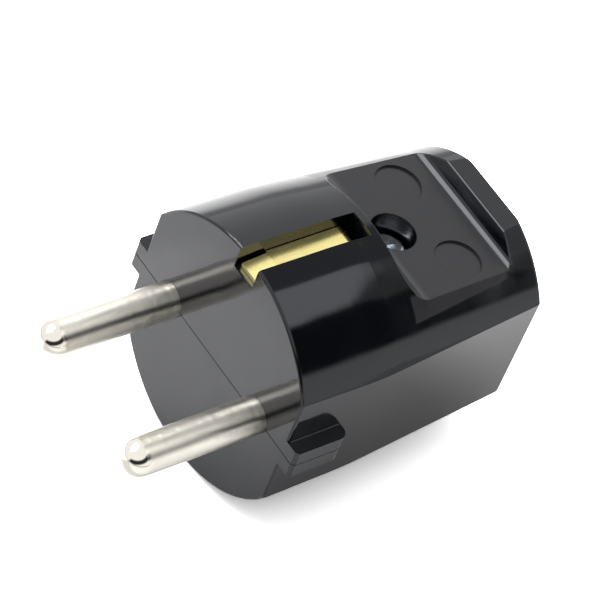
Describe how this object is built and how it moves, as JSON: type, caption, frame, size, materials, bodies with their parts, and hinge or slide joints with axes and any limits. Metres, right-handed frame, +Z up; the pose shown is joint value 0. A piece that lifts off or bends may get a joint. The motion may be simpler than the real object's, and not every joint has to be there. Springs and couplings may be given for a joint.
{
  "type": "earthed mains plug",
  "caption": "Rewirable earthed mains plug with round pins, side guide ribs, brass earth contact strips in open slots and sunk finger grips, ready to take a cord.",
  "frame": {"origin": "centre of the flat engagement face, midway between the two pins", "axes": "+X along the pins towards their tips, +Y across the two pins towards the left pin, +Z up out of the side with the screw head"},
  "size_m": [0.0573, 0.0358, 0.036],
  "materials": {
    "housing": "glossy black",
    "nickel": "nickel plated, turned",
    "brass": "satin",
    "zinc": "bright zinc plated"
  },
  "bodies": {
    "root": {"upper_shell": "housing", "lower_shell": "housing", "pin_left": "nickel", "pin_right": "nickel", "earth_bow": "brass", "terminal_screw_left": "zinc", "terminal_screw_right": "zinc", "earth_screw": "zinc", "earth_nut": "zinc", "earth_washer": "zinc", "housing_screw": "zinc", "housing_nut": "zinc", "cord_clamp": "housing", "clamp_screw_left": "zinc", "clamp_screw_right": "zinc"}
  },
  "joints": []
}
